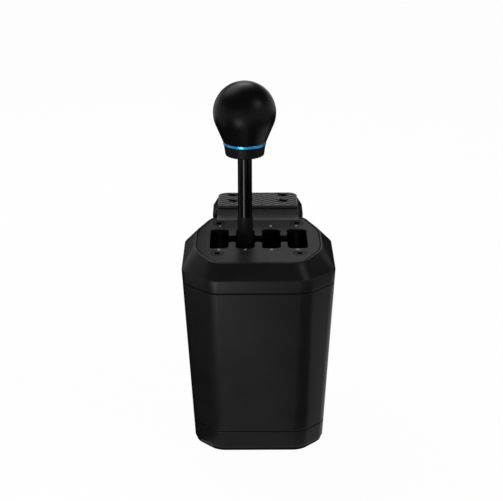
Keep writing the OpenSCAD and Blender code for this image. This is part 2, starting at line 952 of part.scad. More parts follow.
// Cast shelf that stands behind the plate, with a flange down the housing's back
module rear_bracket() {
  color(black)
    difference() {
      union() {
        hull() {
          translate([0, 0, bracket_low])
            linear_extrude(slice)
              bracket_outline(bracket_half_low);
          translate([0, 0, grip_z - slice])
            linear_extrude(slice)
              bracket_outline(bracket_half_top);
        }
        translate([-flange_half, flange_y, flange_low])
          cube([2 * flange_half, flange_t, bracket_low + past - flange_low]);
        for (x = [-flange_half, flange_half - flange_t])
          translate([x, flange_y + flange_t - past, bracket_low + past])
            rotate([90, 0, 90])
              linear_extrude(flange_t)
                polygon([[0, 0], [0, -gusset_h], [bracket_back - flange_y - flange_t - gusset_in, 0]]);
      }
      bracket_slots(bracket_low - past, grip_z + past);
      at_bolts()
        along_y(bolt_r + fit_gap, flange_y - past, flange_y + flange_t + past);
    }
}

module bracket_bolts() {
  head_y = flange_y + flange_t;
  color(steel)
    at_bolts()
      difference() {
        union() {
          along_y(bolt_r, body_back - wall - backing_t, head_y);
          along_y(bolt_head_r, head_y, head_y + bolt_head_h);
        }
        translate([0, head_y + bolt_head_h, 0])
          rotate([-90, 0, 0])
            hex_recess(bolt_head_r);
      }
}

// Rubber pad on the bracket, with the bracket's slots
module grip_pad() {
  color(rubber)
    difference() {
      translate([0, 0, grip_z])
        linear_extrude(grip_t)
          bracket_outline(bracket_half_top, -grip_margin);
      bracket_slots(grip_z - past, grip_z + grip_t + past);
    }
}

// Frame that rocks from lane to lane and carries the lever's shaft
module yoke_frame() {
  color(alloy)
    at_pivot()
      difference() {
        union() {
          translate([0, 0, -yoke_h / 2])
            block(yoke_w, yoke_d, yoke_h);
          translate([0, 0, -yoke_h / 2])
            block(yoke_w + 2 * arm_len, 2 * arm_half, arm_t);
          for (side = [-1, 1])
            translate([side * arm_x, 0, -yoke_h / 2 - peg_h])
              cylinder(r = peg_r, h = peg_h + past);
        }
        translate([0, 0, -yoke_h / 2 - past])
          block(window_w, window_d, yoke_h + 2 * past);
        along_x(shaft_bush_r + fit_gap, -yoke_w, yoke_w);
        along_y(axle_r + fit_gap, -yoke_d, yoke_d);
      }
}

module front_axle() {
  color(steel)
    at_pivot()
      along_y(axle_r, -upright_back, -axle_start);
}

module rear_axle() {
  color(steel)
    at_pivot()
      along_y(axle_r, axle_start, axle_end);
}

module axle_magnet() {
  color(alloy)
    at_pivot()
      along_y(magnet_r, axle_end, axle_end + magnet_t);
}

// Plain bush in one side of the yoke
module pivot_bush(side) {
  inner = window_w / 2;
  color(brass)
    at_pivot()
      difference() {
        along_x(shaft_bush_r, side < 0 ? -yoke_w / 2 : inner, side < 0 ? -inner : yoke_w / 2);
        along_x(shaft_r + run_gap, -yoke_w, yoke_w);
      }
}

module pivot_bush_left() {
  pivot_bush(-1);
}

module pivot_bush_right() {
  pivot_bush(1);
}

// Small upright board on the right-hand arm, which reads the magnet on the shaft's end
module lever_sensor_board() {
  color(green)
    at_pivot()
      union() {
        translate([lever_board_x, -lever_board_half, arm_t - yoke_h / 2])
          cube([board_t, 2 * lever_board_half, lever_board_h]);
        translate([lever_board_x - chip_h, -chip / 2, -chip / 2])
          cube([chip_h + fit_gap, chip, chip]);
      }
}

// Foot of the lever: shaft bore, socket for the post and pocket for the click magnet
module lever_hub() {
  color(alloy)
    at_pivot()
      difference() {
        union() {
          translate([0, 0, -hub_h])
            block(2 * hub_half, hub_d, 2 * hub_h);
          translate([0, 0, -stem_len])
            cylinder(r = stem_r, h = stem_len);
        }
        along_x(shaft_r + fit_gap, -yoke_w, yoke_w);
        translate([0, 0, hub_h - socket_depth])
          cylinder(r = post_r + fit_gap, h = socket_depth + past);
        translate([0, 0, pin_z])
          along_y(pin_r + fit_gap, -hub_d, hub_d);
        translate([0, 0, -stem_len - past])
          cylinder(r = foot_magnet_r + fit_gap, h = foot_magnet_t + past);
      }
}

module pivot_shaft() {
  color(steel)
    at_pivot()
      along_x(shaft_r, -shaft_half, shaft_half);
}

module shaft_magnet() {
  color(alloy)
    at_pivot()
      along_x(magnet_r, shaft_half, shaft_half + magnet_t);
}

module foot_magnet() {
  color(alloy)
    at_pivot()
      translate([0, 0, -stem_len])
        cylinder(r = foot_magnet_r, h = foot_magnet_t);
}

module lever_post() {
  low = pivot_z + hub_h - socket_depth;
  color(black)
    difference() {
      translate([pivot_x, 0, low])
        cylinder(r = post_r, h = post_top - low);
      translate([pivot_x, 0, post_top - spigot_low - fit_gap])
        cylinder(r = spigot_r + fit_gap, h = spigot_low + past);
      at_pivot()
        translate([0, 0, pin_z])
          along_y(pin_r + fit_gap, -hub_d, hub_d);
      translate([pivot_x, 0, post_top - grub_drop])
        along_y(grub_r + fit_gap, 0, post_r + past);
    }
}

module post_pin() {
  color(steel)
    at_pivot()
      translate([0, 0, pin_z])
        along_y(pin_r, -hub_d / 2, hub_d / 2);
}

// Locking screw in the back of the post, against the rod's end
module grub_screw() {
  color(steel)
    translate([pivot_x, 0, post_top - grub_drop])
      difference() {
        along_y(grub_r, spigot_r, post_r - fit_gap);
        translate([0, post_r - fit_gap, 0])
          rotate([-90, 0, 0])
            hex_recess(grub_r);
      }
}

module lever_rod() {
  color(black)
    translate([pivot_x, 0, 0])
      union() {
        translate([0, 0, post_top])
          cylinder(r = rod_r, h = insert_low - post_top);
        translate([0, 0, post_top - spigot_low])
          cylinder(r = spigot_r, h = insert_low - post_top + spigot_low + spigot_high);
      }
}

module knob_insert() {
  color(brass)
    translate([pivot_x, 0, 0])
      difference() {
        translate([0, 0, insert_low])
          cylinder(r = insert_r, h = knob_z + insert_top - insert_low);
        translate([0, 0, insert_low - past])
          cylinder(r = spigot_r + fit_gap, h = spigot_high + past + fit_gap);
      }
}

// Collar under the ring, drawn in a little and rounded at its foot
module knob_collar() {
  foot = collar_low + collar_round;
  color(black)
    translate([pivot_x, 0, 0])
      rotate_extrude()
        difference() {
          union() {
            polygon([[0, foot], [collar_low_r, foot], [collar_r, ring_low], [0, ring_low]]);
            translate([0, collar_low])
              square([collar_low_r - collar_round, collar_round]);
            intersection() {
              translate([collar_low_r - collar_round, foot])
                circle(r = collar_round);
              translate([0, collar_low])
                square([collar_low_r, collar_round]);
            }
          }
          translate([0, insert_low])
            square([insert_r + fit_gap, knob_z]);
          translate([0, collar_low - past])
            square([rod_r + side_gap, knob_z]);
        }
}

module knob_ring() {
  color(blue)
    translate([pivot_x, 0, ring_low])
      difference() {
        cylinder(r = ring_r, h = ring_t);
        translate([0, 0, -past])
          cylinder(r = insert_r + fit_gap, h = ring_t + 2 * past);
      }
}

// Ball that runs smoothly into a cone, down to the ring
module knob_body() {
  neck = norm([knob_neck_r, ring_drop]);
  turn = atan2(ring_drop, knob_neck_r) - acos(ball_r / neck);
  drop = ball_r * sin(turn);
  touch_r = ball_r * cos(turn);
  color(black)
    translate([pivot_x, 0, knob_z])
      difference() {
        union() {
          intersection() {
            sphere(r = ball_r);
            translate([0, 0, -drop])
              cylinder(r = ball_r + past, h = drop + ball_r + past);
          }
          translate([0, 0, -ring_drop])
            cylinder(r1 = knob_neck_r, r2 = touch_r, h = ring_drop - drop);
        }
        translate([0, 0, -ring_drop - past])
          cylinder(r = insert_r + fit_gap, h = ring_drop + past + insert_top + fit_gap);
      }
}

foot_pad();
base_tray();
base_screws();
chassis();
front_axle_bush();
rear_axle_bush();
detent_bowl();
bowl_screws();
keeper_pins();
centring_spring_left();
centring_spring_right();
gate_pillars();
main_board();
board_screws();
data_socket();
main_housing();
backing_plate();
top_cap();
gate_plate();
gate_screws();
rear_bracket();
bracket_bolts();
grip_pad();
yoke_frame();
front_axle();
rear_axle();
axle_magnet();
pivot_bush_left();
pivot_bush_right();
lever_sensor_board();
lever_hub();
pivot_shaft();
shaft_magnet();
foot_magnet();
lever_post();
post_pin();
grub_screw();
lever_rod();
knob_insert();
knob_collar();
knob_ring();
knob_body();
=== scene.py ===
import math

import bmesh
import bpy
from mathutils import Matrix, Vector


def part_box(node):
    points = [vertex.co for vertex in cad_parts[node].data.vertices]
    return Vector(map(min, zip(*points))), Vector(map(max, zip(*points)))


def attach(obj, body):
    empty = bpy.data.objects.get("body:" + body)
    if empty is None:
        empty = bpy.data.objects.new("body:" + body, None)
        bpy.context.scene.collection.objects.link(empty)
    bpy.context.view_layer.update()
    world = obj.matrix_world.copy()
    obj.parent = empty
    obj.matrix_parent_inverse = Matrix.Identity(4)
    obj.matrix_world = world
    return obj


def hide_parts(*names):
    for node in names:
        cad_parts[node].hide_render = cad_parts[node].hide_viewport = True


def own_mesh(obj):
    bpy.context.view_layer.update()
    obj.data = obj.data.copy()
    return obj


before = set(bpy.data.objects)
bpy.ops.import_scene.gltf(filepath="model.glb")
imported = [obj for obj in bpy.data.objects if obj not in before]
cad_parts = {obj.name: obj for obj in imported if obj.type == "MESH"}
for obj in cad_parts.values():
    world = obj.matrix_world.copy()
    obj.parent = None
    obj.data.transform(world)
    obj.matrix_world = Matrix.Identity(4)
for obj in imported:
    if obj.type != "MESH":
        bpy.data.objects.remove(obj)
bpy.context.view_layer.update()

# Foot pad: a rubber sheet under the tray, die-cut to the housing's outline and glued on.
# Its upper edge sits just inside the tray, and holes reach the four base screws.
MM = 0.001
foot_half, top_half = 54.2 * MM, 63.6 * MM
foot_front, top_front = 64.8 * MM, 68.2 * MM
body_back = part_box("main_housing")[1][1]
foot_facet, top_facet = 18.6 * MM, 23.6 * MM
top_facet_deep = 25 * MM
facet_lean = top_facet_deep / top_facet
rear_facet = (15 * MM, 34.5 * MM)
body_round = 16 * MM
ease_share = 0.3
weld_gap = 1e-6
shoulder_z = 155 * MM
corner_steps = 10
foot_inset = 1.2 * MM
foot_edge = 0.5 * MM
foot_screw_hole = 5.5 * MM
rubber_colour = (0.006, 0.006, 0.0062, 1)


def outline(half, front, back, front_facet, back_facet):
    """Corners of an eight-sided outline, anticlockwise from the front right."""
    right = [
        Vector((half - front_facet[0], -front)),
        Vector((half, front_facet[1] - front)),
        Vector((half, back - back_facet[1])),
        Vector((half - back_facet[0], back)),
    ]
    return right + [Vector((-p.x, p.y)) for p in reversed(right)]


def housing_outline(z):
    """The tapered housing's corners at a height."""
    t = z / shoulder_z
    facet = foot_facet + (top_facet - foot_facet) * t
    half = foot_half + (top_half - foot_half) * t
    front = foot_front + (top_front - foot_front) * t
    return outline(half, front, body_back, (facet, facet * facet_lean), rear_facet)


def turns(corners):
    """Each corner with the directions of the sides that lead to it and from it."""
    for i, here in enumerate(corners):
        arrive = (here - corners[i - 1]).normalized()
        leave = (corners[(i + 1) % len(corners)] - here).normalized()
        yield here, arrive, leave


def grown(corners, grow):
    """The same outline with every side moved outwards by grow."""
    moved = []
    for here, arrive, leave in turns(corners):
        out = Vector((arrive.y + leave.y, -arrive.x - leave.x))
        moved.append(here + out * grow / (1 + arrive.dot(leave)))
    return moved


def rounded_ring(bm, corners, radii, z):
    """A ring of vertices through flat corners at a height, each corner rounded to its radius."""
    sheet = bmesh.new()
    points = [sheet.verts.new((p.x, p.y, z)) for p in corners]
    sheet.faces.new(points)
    start = None
    for point, radius, (here, arrive, leave) in zip(points, radii, turns(corners)):
        reach = radius * math.tan(arrive.angle(leave) / 2)
        if start is None:
            start = (here - arrive * reach).to_3d() + Vector((0, 0, z))
        bmesh.ops.bevel(
            sheet,
            geom=[point],
            offset=reach,
            offset_type="OFFSET",
            affect="VERTICES",
            segments=corner_steps,
            profile=0.5,
            material=-1,
        )
    sheet.faces.ensure_lookup_table()
    places = [corner.vert.co.copy() for corner in sheet.faces[0].loops]
    sheet.free()
    first = min(range(len(places)), key=lambda i: (places[i] - start).length)
    return [bm.verts.new(place) for place in places[first:] + places[:first]]


def hole_ring(bm, radius, place, steps=40):
    """A ring of vertices round a hole's rim."""
    spot = Matrix.Translation(place)
    return bmesh.ops.create_circle(bm, segments=steps, radius=radius, matrix=spot)["verts"]


def sides(ring):
    """Each vertex of a ring with the next one round."""
    return zip(ring, ring[1:] + ring[:1])


def skin(bm, rings, closed=False):
    """Walls from each ring to the next, and from the last to the first if closed."""
    walls = []
    for low, high in zip(rings, rings[1:] + (rings[:1] if closed else [])):
        for (a, b), (c, d) in zip(sides(low), sides(high)):
            walls.append(bm.faces.new((a, b, d, c)))
    return walls


def cover(bm, *rings):
    """A flat face inside the first ring, open inside the others."""
    edges = [bm.edges.get(pair) or bm.edges.new(pair) for ring in rings for pair in sides(ring)]
    bmesh.ops.triangle_fill(bm, edges=edges, use_beauty=True)


def place_piece(bm, name, body, slot, material, *nodes, crease=15):
    """Makes the mesh a finished piece that rides on a body and stands for its CAD nodes."""
    bmesh.ops.remove_doubles(bm, verts=bm.verts, dist=weld_gap)
    bmesh.ops.recalc_face_normals(bm, faces=bm.faces)
    mesh = bpy.data.meshes.new(name)
    bm.to_mesh(mesh)
    bm.free()
    mesh.shade_smooth()
    mesh.set_sharp_from_angle(angle=math.radians(crease))
    mesh.materials.append(material)
    piece = bpy.data.objects.new(name, mesh)
    bpy.context.scene.collection.objects.link(piece)
    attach(piece, body)
    if nodes:
        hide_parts(*nodes)
    return piece


tone_spread = 0.8
noise_middle = 0.5
fine_detail, broad_detail = 2, 3
broad_scale = 38


def grain_group():
    """Shared fine grain: a height for the bump, and a roughness and a tone that vary a little."""
    group = bpy.data.node_groups.new("surface_grain", "ShaderNodeTree")
    for label, kind, way in (
        ("Size", "NodeSocketFloat", "INPUT"),
        ("Roughness", "NodeSocketFloat", "INPUT"),
        ("Spread", "NodeSocketFloat", "INPUT"),
        ("Height", "NodeSocketFloat", "OUTPUT"),
        ("Roughness", "NodeSocketFloat", "OUTPUT"),
        ("Tone", "NodeSocketFloat", "OUTPUT"),
    ):
        group.interface.new_socket(label, in_out=way, socket_type=kind)
    nodes, links = group.nodes, group.links
    given, made = nodes.new("NodeGroupInput"), nodes.new("NodeGroupOutput")
    where = nodes.new("ShaderNodeTexCoord")
    fine, broad = nodes.new("ShaderNodeTexNoise"), nodes.new("ShaderNodeTexNoise")
    fine.inputs["Detail"].default_value = fine_detail
    broad.inputs["Scale"].default_value = broad_scale
    broad.inputs["Detail"].default_value = broad_detail
    centred, spread = nodes.new("ShaderNodeMath"), nodes.new("ShaderNodeMath")
    centred.operation = "SUBTRACT"
    centred.inputs[1].default_value = noise_middle
    spread.operation = "MULTIPLY_ADD"
    for noise in (fine, broad):
        links.new(where.outputs["Object"], noise.inputs["Vector"])
    links.new(given.outputs["Size"], fine.inputs["Scale"])
    links.new(broad.outputs["Fac"], centred.inputs[0])
    links.new(centred.outputs[0], spread.inputs[0])
    links.new(given.outputs["Spread"], spread.inputs[1])
    links.new(given.outputs["Roughness"], spread.inputs[2])
    links.new(fine.outputs["Fac"], made.inputs["Height"])
    links.new(spread.outputs[0], made.inputs["Roughness"])
    mottle = nodes.new("ShaderNodeMath")
    mottle.operation = "MULTIPLY_ADD"
    mottle.inputs[1].default_value = tone_spread
    mottle.inputs[2].default_value = 1
    links.new(centred.outputs[0], mottle.inputs[0])
    links.new(mottle.outputs[0], made.inputs["Tone"])
    return group


surface_grain = grain_group()


def finish(name, colour, roughness, metallic=0.0, grain=900, depth=0.0, spread=0.06, level=0.5):
    """A material of one colour with the shared grain on it. depth is the grain's height in metres."""
    material = bpy.data.materials.new(name)
    material.use_nodes = True
    nodes, links = material.node_tree.nodes, material.node_tree.links
    shader = nodes["Principled BSDF"]
    shader.inputs["Metallic"].default_value = metallic
    shader.inputs["Specular IOR Level"].default_value = level
    texture = nodes.new("ShaderNodeGroup")
    texture.node_tree = surface_grain
    texture.inputs["Size"].default_value = grain
    texture.inputs["Roughness"].default_value = roughness
    texture.inputs["Spread"].default_value = spread
    links.new(texture.outputs["Roughness"], shader.inputs["Roughness"])
    tinted = nodes.new("ShaderNodeVectorMath")
    tinted.operation = "SCALE"
    tinted.inputs[0].default_value = colour[:3]
    links.new(texture.outputs["Tone"], tinted.inputs["Scale"])
    links.new(tinted.outputs["Vector"], shader.inputs["Base Color"])
    if depth:
        bump = nodes.new("ShaderNodeBump")
        bump.inputs["Distance"].default_value = depth
        links.new(texture.outputs["Height"], bump.inputs["Height"])
        links.new(bump.outputs["Normal"], shader.inputs["Normal"])
    return material


def dress(material, *nodes):
    """Gives CAD nodes that are shown as they are a finish."""
    for node in nodes:
        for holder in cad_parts[node].material_slots:
            holder.material = material


rubber = finish("foot_rubber", rubber_colour, roughness=0.75, grain=1400, depth=0.00012, level=0.02)
foot_low, foot_high = (corner[2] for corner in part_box("foot_pad"))
foot = bmesh.new()


def foot_ring(z, inset):
    """The foot's outline at a height."""
    corners = grown(housing_outline(0), -inset)
    return rounded_ring(foot, corners, [body_round - inset] * len(corners), z)


screw_x = 34 * MM
screw_front, screw_rear = 36 * MM, 40 * MM
screw_places = [(x, y) for x in (-screw_x, screw_x) for y in (-screw_front, screw_rear)]
foot_rings = [
    foot_ring(foot_low, foot_inset + foot_edge),
    foot_ring(foot_low + foot_edge, foot_inset),
    foot_ring(foot_high, foot_inset),
]
skin(foot, foot_rings)
foot_holes = [
    [hole_ring(foot, foot_screw_hole, (x, y, z)) for z in (foot_low, foot_high)] for x, y in screw_places
]
for low, high in foot_holes:
    skin(foot, [low, high])
cover(foot, foot_rings[0], *[low for low, high in foot_holes])
cover(foot, foot_rings[-1], *[high for low, high in foot_holes])
place_piece(foot, "foot_sheet", "housing", "foot_rubber", rubber, "foot_pad")

# Base tray: a shallow moulded tray that closes the housing from below. Its outside carries on
# the housing's taper, and its bottom edge is rounded down to the foot. Black textured plastic.
shell_colour = (0.0065, 0.0065, 0.0068, 1)
seam_edge = 0.6 * MM
tray_edge = 1.6 * MM
lip_inset = 3.25 * MM
lip_t = 1.6 * MM
tray_floor = 3 * MM
seam_half = 0.25 * MM
base_seam_z = 18.2 * MM

moulding = finish(
    "black_moulding",
    shell_colour,
    roughness=0.37,
    grain=2600,
    depth=0.00005,
    spread=0.05,
    level=0.1,
)


def housing_ring(bm, z, inset=0.0):
    """The housing's rounded outline at a height, drawn in by inset."""
    corners = grown(housing_outline(z), -inset)
    return rounded_ring(bm, corners, [body_round - inset] * len(corners), z)


def eased(low, high, edge_low, edge_high):
    """Heights and insets up an outside wall with its two edges eased off."""
    return [
        (low, edge_low),
        (low + edge_low * ease_share, edge_low * ease_share),
        (low + edge_low, 0.0),
        (high - edge_high, 0.0),
        (high - edge_high * ease_share, edge_high * ease_share),
        (high, edge_high),
    ]


tray = bmesh.new()
tray_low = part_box("base_tray")[0][2]
tray_top = base_seam_z - seam_half
lip_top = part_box("base_tray")[1][2]
tray_heights = eased(tray_low, tray_top, tray_edge, seam_edge)
tray_outside = [housing_ring(tray, z, inset) for z, inset in tray_heights]
tray_lip = [
    housing_ring(tray, tray_top, lip_inset),
    housing_ring(tray, lip_top, lip_inset),
    housing_ring(tray, lip_top, lip_inset + lip_t),
    housing_ring(tray, tray_low + tray_floor, lip_inset + lip_t),
]
skin(tray, tray_outside + tray_lip)
cover(tray, tray_outside[0])
cover(tray, tray_lip[-1])
place_piece(tray, "tray_moulding", "housing", "shell", moulding, "base_tray")

# Mechanism inside: a machined chassis on the tray's floor carries the yoke on two bronze bushes,
# the moulded bowl of keeper pins, the pillars and the boards. Two coil springs of drawn wire stand
# on its pegs under the yoke.
machined = finish("machined_alloy", (0.5, 0.51, 0.53, 1), roughness=0.35, metallic=1.0)
turned = finish("turned_steel", (0.42, 0.43, 0.45, 1), roughness=0.3, metallic=1.0)
bronze = finish("bronze_bush", (0.5, 0.33, 0.12, 1), roughness=0.35, metallic=1.0)
nickel = finish("nickel_plate", (0.6, 0.58, 0.55, 1), roughness=0.2, metallic=1.0)
bowl_plastic = finish("bowl_moulding", (0.02, 0.02, 0.021, 1), roughness=0.5)
lacquer = finish("board_lacquer", (0.01, 0.1, 0.045, 1), roughness=0.35)
black_oxide = finish("black_oxide", (0.012, 0.012, 0.0125, 1), roughness=0.38, level=0.6)
dress(machined, "chassis", "yoke_frame", "lever_hub")
dress(turned, "base_screws", "bowl_screws", "keeper_pins", "board_screws", "post_pin")
dress(turned, "centring_spring_left", "centring_spring_right", "gate_pillars", "backing_plate")
dress(turned, "front_axle", "rear_axle", "pivot_shaft")
dress(bronze, "front_axle_bush", "rear_axle_bush", "pivot_bush_left", "pivot_bush_right", "knob_insert")
dress(nickel, "axle_magnet", "shaft_magnet", "foot_magnet", "data_socket")
dress(bowl_plastic, "detent_bowl")
dress(lacquer, "main_board", "lever_sensor_board")
dress(black_oxide, "bracket_bolts", "grub_screw")
spring_keep = {"left": 0.54, "right": 0.64}
for side, keep in spring_keep.items():
    node = "centring_spring_" + side
    coil = bpy.data.objects.new("coil_" + side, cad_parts[node].data.copy())
    bpy.context.scene.collection.objects.link(coil)
    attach(coil, "housing")
    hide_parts(node)
    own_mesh(coil)

# Main housing: the tall tapered sleeve between the two seams, moulded in black textured plastic.
# The data socket looks out through a window low in its back wall, and bolts cross it higher up.
seam_z = 143.5 * MM
wall = 3 * MM
housing = bmesh.new()
sleeve_low, sleeve_top = (corner[2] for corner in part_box("main_housing"))
sleeve_heights = eased(sleeve_low, sleeve_top, seam_edge, seam_edge)
sleeve_outside = [housing_ring(housing, z, inset) for z, inset in sleeve_heights]
sleeve_inside = [housing_ring(housing, z, wall) for z in (sleeve_top, sleeve_low)]
skin(housing, sleeve_outside + sleeve_inside, closed=True)
window_margin = 1.6 * MM
socket_low, socket_high = (Vector(corner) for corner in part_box("data_socket"))
window_x = socket_high.x + window_margin
window_z = (socket_low.z - window_margin, socket_high.z + window_margin)
window_rings = []
for y in (body_back, body_back - wall):
    at_back = [f for f in housing.faces if all(abs(v.co.y - y) < weld_gap for v in f.verts)]
    back_wall = max(at_back, key=lambda f: f.calc_area())
    edge_ring = list(back_wall.verts)
    bmesh.ops.delete(housing, geom=[back_wall], context="FACES_ONLY")
    frame_ring = [
        housing.verts.new((x, y, z))
        for x, z in (
            (-window_x, window_z[0]),
            (window_x, window_z[0]),
            (window_x, window_z[1]),
            (-window_x, window_z[1]),
        )
    ]
    cover(housing, edge_ring, frame_ring)
    window_rings.append(frame_ring)
skin(housing, window_rings)
place_piece(housing, "tapered_sleeve", "housing", "shell", moulding, "main_housing")

# Top cap: the band and sloping shoulder round the gate plate, moulded in the same plastic.
# It carries the plate on a ledge, leaves a shadow groove round it, and slips into the sleeve.
# A fine satin bead runs round its inner rim.
plate_half = 51.6 * MM
plate_front, plate_back = 57.3 * MM, 58.8 * MM
plate_front_facet = (16.6 * MM, 30.3 * MM)
plate_rear_facet = (14 * MM, 38.8 * MM)
plate_round, plate_side_round = 13 * MM, 42 * MM
plate_groove = 0.7 * MM
rim_w = 1.6 * MM
ledge_w = 3.6 * MM
ledge_t = 2.5 * MM
shoulder_edge = 1.2 * MM
shoulder_ease = ((1, 0), (0.5, 0.1), (0, 1 / 3))
rim_edge = 0.9 * MM
rim_slope = Vector((0.6, -0.8))
groove_w = 0.95 * MM
lip_h = 3 * MM
plate_low, gate_z = (corner[2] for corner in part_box("gate_plate"))
plate_corners = outline(plate_half, plate_front, plate_back, plate_front_facet, plate_rear_facet)


def plate_ring(bm, z, grow=0.0):
    """The gate plate's rounded outline at a height, moved outwards by grow."""
    half_way = [plate_round, plate_side_round, plate_side_round, plate_round]
    radii = [radius + grow for radius in half_way * 2]
    return rounded_ring(bm, grown(plate_corners, grow), radii, z)


def bend(start, corner, end, steps=5):
    """Points of a smooth bend round a corner."""
    shares = [i / steps for i in range(steps + 1)]
    return [start.lerp(corner, t).lerp(corner.lerp(end, t), t) for t in shares]


cap = bmesh.new()
cap_low = seam_z + seam_half
rim_crest = Vector((plate_groove + rim_w, gate_z))
rim_bend = bend(rim_crest + rim_edge * rim_slope, rim_crest, rim_crest - Vector((rim_edge, 0)))
cap_rings = [
    housing_ring(cap, cap_low, seam_edge),
    housing_ring(cap, cap_low + seam_edge * ease_share, seam_edge * ease_share),
    housing_ring(cap, cap_low + seam_edge),
    *[
        housing_ring(cap, shoulder_z - shoulder_edge * drop, shoulder_edge * inset)
        for drop, inset in shoulder_ease
    ],
    *[plate_ring(cap, z, grow) for grow, z in rim_bend],
    plate_ring(cap, gate_z, groove_w),
    plate_ring(cap, plate_low, groove_w),
    plate_ring(cap, plate_low, -ledge_w),
    plate_ring(cap, plate_low - ledge_t, -ledge_w),
    housing_ring(cap, seam_z - lip_h, lip_inset + lip_t),
    housing_ring(cap, seam_z - lip_h, lip_inset),
    housing_ring(cap, cap_low, lip_inset),
]
skin(cap, cap_rings, closed=True)
place_piece(cap, "shoulder_cap", "housing", "shell", moulding, "top_cap")
bead = bmesh.new()
bead_h, bead_w, bead_foot = 0.12 * MM, 1.1 * MM, 1 * MM
bead_gap = 0.05 * MM
crest_from, crest_to = 0.35, 0.7
bead_path = [
    (bead_gap, -bead_foot),
    (bead_gap, 0),
    (crest_from * bead_w, bead_h),
    (crest_to * bead_w, bead_h),
    (bead_w, -bead_h),
    (bead_w, -bead_foot),
]
bead_rings = [plate_ring(bead, gate_z + dz, groove_w + grow) for grow, dz in bead_path]
skin(bead, bead_rings, closed=True)
satin_rim = finish(
    "satin_rim",
    shell_colour,
    roughness=0.35,
    grain=2600,
    depth=0.00002,
    spread=0.05,
    level=0.2,
)
place_piece(bead, "shoulder_rim", "housing", "shell", satin_rim)

# Gate plate: 3 mm steel, laser-cut with four lanes and the channel across them, its edges eased
# and its face coated satin dark grey. Four countersunk screws hold it to the pillars.
lane_count = 4
lane_pitch = 22 * MM
lane_w, right_lane_w = 15.4 * MM, 16.6 * MM
lane_len = 48 * MM
channel_w = 15.4 * MM
lip_round, lane_round = 2.6 * MM, 4 * MM
plate_edge = 0.45 * MM
screw_r, screw_head_r, screw_head_h = 2.55 * MM, 4.85 * MM, 2.3 * MM
sink_gap = 0.75 * MM
plate_colour = (0.01, 0.01, 0.0102, 1)
lane_centres = [lane_pitch * (i - (lane_count - 1) / 2) for i in range(lane_count)]


def slot_corners(side):
    """Corners of the slots on one side of the channel, with their radii, from left to right."""
    corners = []
    last = lane_count - 1
    for i, x in enumerate(lane_centres):
        half = (right_lane_w if i == last else lane_w) / 2
        if i > 0:
            corners.append((Vector((x - half, side * channel_w / 2)), -lip_round))
        corners.append((Vector((x - half, side * lane_len / 2)), lane_round))
        corners.append((Vector((x + half, side * lane_len / 2)), lane_round))
        if i < last:
            corners.append((Vector((x + half, side * channel_w / 2)), -lip_round))
    return corners


gate_corners = slot_corners(-1) + slot_corners(1)[::-1]
plate = bmesh.new()


def gate_ring(z, grow):
    """The edge of the lanes and channel at a height. Lips shrink as the lanes grow."""
    corners = grown([p for p, radius in gate_corners], grow)
    return rounded_ring(plate, corners, [abs(radius + grow) for p, radius in gate_corners], z)


easing = [
    (gate_z, plate_edge),
    (gate_z - plate_edge * ease_share, plate_edge * ease_share),
    (gate_z - plate_edge, 0.0),
]
rim_rings = [plate_ring(plate, z, -inset) for z, inset in easing] + [plate_ring(plate, plate_low)]
lane_rings = [gate_ring(z, inset) for z, inset in easing] + [gate_ring(plate_low, 0.0)]
skin(plate, rim_rings)
skin(plate, lane_rings)
sinks = []
for x, y in screw_places:
    sink = [
        hole_ring(plate, screw_head_r + sink_gap, (x, y, gate_z)),
        hole_ring(plate, screw_head_r + sink_gap, (x, y, gate_z - sink_gap)),
        hole_ring(plate, screw_r, (x, y, gate_z - screw_head_h)),
        hole_ring(plate, screw_r, (x, y, plate_low)),
    ]
    skin(plate, sink)
    sinks.append(sink)
cover(plate, rim_rings[0], lane_rings[0], *[sink[0] for sink in sinks])
cover(plate, rim_rings[-1], lane_rings[-1], *[sink[-1] for sink in sinks])
satin_grey = finish(
    "satin_grey_coat",
    plate_colour,
    roughness=0.33,
    grain=2200,
    depth=0.00002,
    spread=0.05,
    level=0.06,
)
place_piece(plate, "lane_plate", "housing", "plate_steel", satin_grey, "gate_plate")
screw_black = finish("screw_black", (0.003, 0.003, 0.0031, 1), roughness=0.35, level=0.06)
dress(screw_black, "gate_screws")

# Gear numbers: small white figures printed on the plate at the ends of the lanes.
# Each is a flat figure that lies on the plate's face.
figure_h = 3.8 * MM
far_row, near_row = 32.5 * MM, -27.2 * MM
ink_lift = 0.03 * MM
font_share = 0.7
white_ink = finish("white_ink", (0.4, 0.4, 0.4, 1), roughness=0.55)


def printed_figure(text, x, y):
    """One printed figure, centred on a place on the plate."""
    curve = bpy.data.curves.new("figure_" + text, "FONT")
    curve.body = text
    curve.size = figure_h / font_share
    curve.align_x, curve.align_y = "CENTER", "CENTER"
    holder = bpy.data.objects.new("figure_curve_" + text, curve)
    bpy.context.scene.collection.objects.link(holder)
    bpy.context.view_layer.update()
    shown = holder.evaluated_get(bpy.context.evaluated_depsgraph_get())
    mesh = bpy.data.meshes.new_from_object(shown)
    bpy.data.objects.remove(holder)
    mesh.transform(Matrix.Translation((x, y, gate_z + ink_lift)))
    mesh.materials.clear()
    mesh.materials.append(white_ink)
    figure = bpy.data.objects.new("gear_figure_" + text, mesh)
    bpy.context.scene.collection.objects.link(figure)
    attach(figure, "housing")


for far, near, x in zip("1357", "246R", lane_centres):
    printed_figure(far, x, far_row)
    printed_figure(near, x, near_row)
